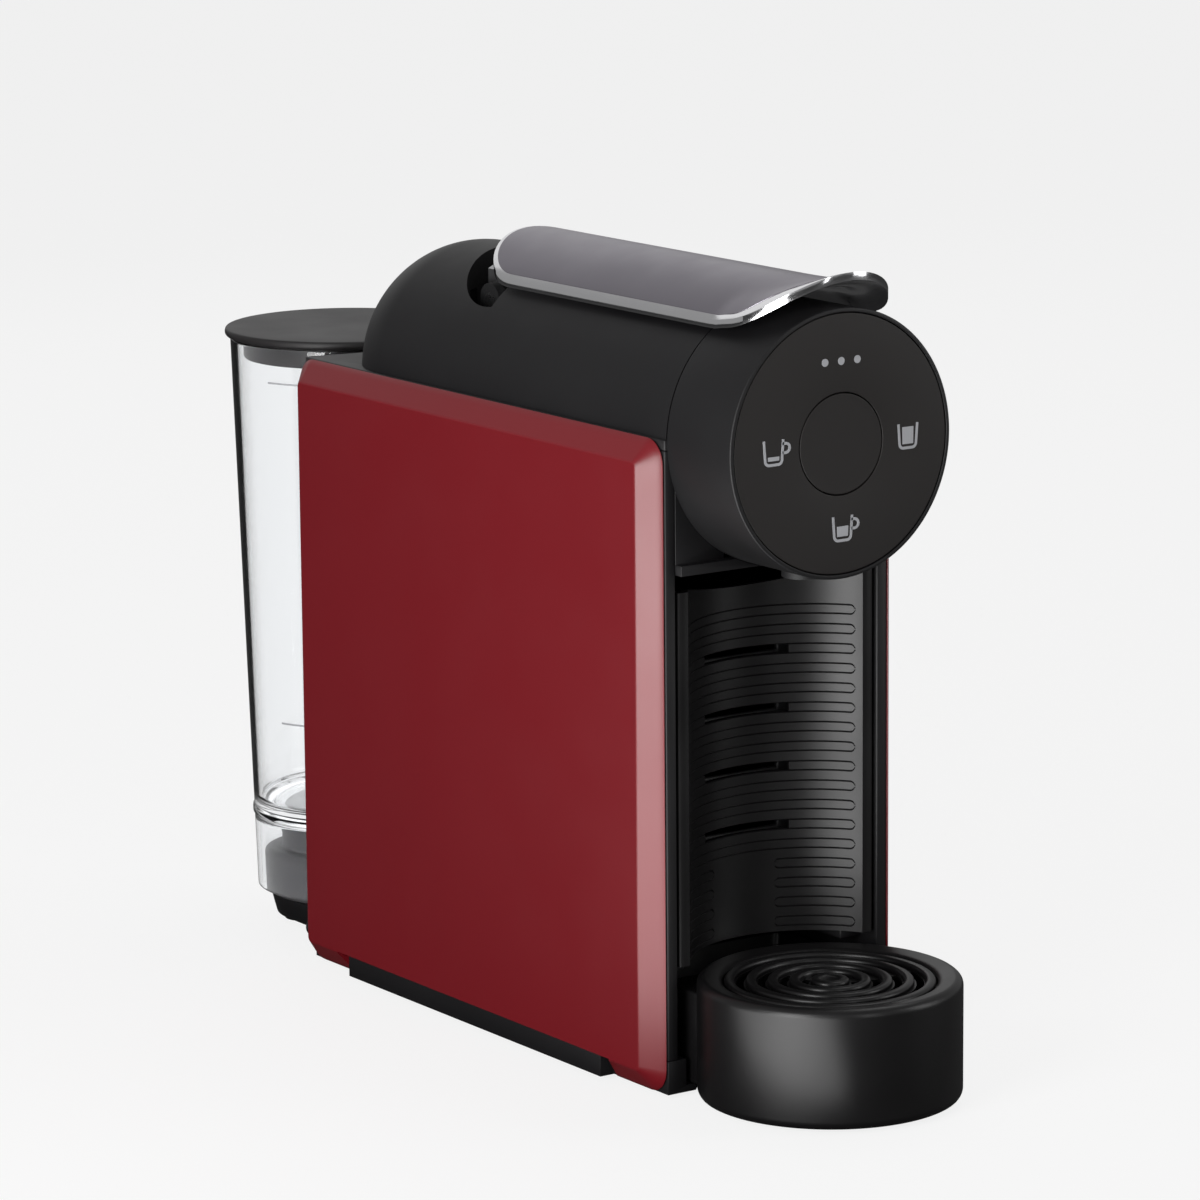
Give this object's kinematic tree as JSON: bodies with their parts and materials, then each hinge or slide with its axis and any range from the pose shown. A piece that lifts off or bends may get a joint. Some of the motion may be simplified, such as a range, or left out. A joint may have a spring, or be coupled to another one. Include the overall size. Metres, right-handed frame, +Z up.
{
  "type": "pod coffee machine",
  "caption": "Slim pod coffee machine with a round head, lift-up lever, concave front drawer, round drip tray and clear rear water tank.",
  "frame": {"origin": "middle of the footprint, on the surface the machine stands on", "axes": "+Z up, front towards -Y, +X to the right seen from the front"},
  "size_m": [0.096, 0.354, 0.2556],
  "materials": {
    "red_panel": "satin lacquered red ABS",
    "black_shell": "fine matt moulded black ABS",
    "face_black": "smooth matt black ABS",
    "satin_black": "satin black ABS",
    "dark_inner": "moulded dark polypropylene",
    "dock_grey": "moulded grey polypropylene",
    "lever_metal": "satin anodised dark grey",
    "chrome_trim": "polished chrome plating",
    "steel_fittings": "bright steel",
    "boiler_metal": "cast",
    "pump_metal": "black coated",
    "coil_copper": "enamelled copper winding",
    "board_green": "coated circuit board",
    "hose_silicone": "translucent silicone",
    "soft_rubber": "matt black rubber",
    "clear_tank": "clear polished plastic"
  },
  "bodies": {
    "root": {"base": "black_shell", "feet": "soft_rubber", "left_panel": "red_panel", "right_panel": "red_panel", "left_frame": "black_shell", "right_frame": "black_shell", "neck_frame": "black_shell", "top_deck": "black_shell", "rear_cover": "black_shell", "upper_housing": "black_shell", "front_collar": "black_shell", "face_plate": "face_black", "button_switch": "dark_inner", "control_board": "board_green", "lever_cradle": "dark_inner", "lever_pin": "steel_fittings", "injection_head": "steel_fittings", "boiler": "boiler_metal", "brew_rails": "dark_inner", "coffee_collector": "dark_inner", "capsule_chute": "dark_inner", "pump_mounts": "soft_rubber", "pump_body": "pump_metal", "pump_coil": "coil_copper", "flow_meter": "dark_inner", "pump_outlet_pipe": "hose_silicone", "boiler_pipe": "hose_silicone", "tank_dock": "dock_grey", "dock_seal": "soft_rubber", "inlet_hose": "hose_silicone", "cable_gland": "soft_rubber", "base_screws": "steel_fittings", "drawer_runners": "black_shell"},
    "lever": {"lever_shell": "chrome_trim", "lever_top_plate": "lever_metal", "lever_cheeks": "steel_fittings"},
    "carriage": {"extraction_carriage": "dark_inner", "extraction_plate": "steel_fittings"},
    "button": {"centre_button": "face_black"},
    "drawer": {"drawer_front": "satin_black", "capsule_bin": "dark_inner"},
    "tray": {"drip_tray": "satin_black"},
    "grid": {"drip_grid": "satin_black"},
    "tank": {"water_tank": "clear_tank", "valve_housing": "dark_inner", "valve_cap": "dark_inner"},
    "valve": {"tank_valve": "dark_inner"},
    "lid": {"tank_lid": "black_shell", "lid_skirt": "black_shell"}
  },
  "joints": [
    {"name": "lever_hinge", "type": "hinge", "parent": "root", "child": "lever", "pos_m": [0, 0.01045, 0.231], "axis": [-1, 0, 0], "range_deg": [0, 75]},
    {"name": "carriage_slide", "type": "slide", "parent": "root", "child": "carriage", "axis": [0, -1, 0], "range_m": [0, 0.0281]},
    {"name": "button_press", "type": "slide", "parent": "root", "child": "button", "axis": [0, 1, 0], "range_m": [0, 0.0012], "stiffness_N_per_m": 1200},
    {"name": "drawer_slide", "type": "slide", "parent": "root", "child": "drawer", "axis": [0, -1, 0], "range_m": [0, 0.12]},
    {"name": "tray_slide", "type": "slide", "parent": "drawer", "child": "tray", "axis": [0, -1, 0], "range_m": [0, 0.05]},
    {"name": "grid_lift", "type": "slide", "parent": "tray", "child": "grid", "axis": [0, 0, 1], "range_m": [0, 0.03]},
    {"name": "tank_lift", "type": "slide", "parent": "root", "child": "tank", "axis": [0, 0, 1], "range_m": [0, 0.06]},
    {"name": "lid_lift", "type": "slide", "parent": "tank", "child": "lid", "axis": [0, 0, 1], "range_m": [0, 0.03]},
    {"name": "valve_lift", "type": "slide", "parent": "tank", "child": "valve", "axis": [0, 0, 1], "range_m": [0, 0.002], "stiffness_N_per_m": 80}
  ],
  "couplings": [
    {"joint": "carriage_slide", "follows": "lever_hinge", "m_per_rad": 0.021393}
  ]
}
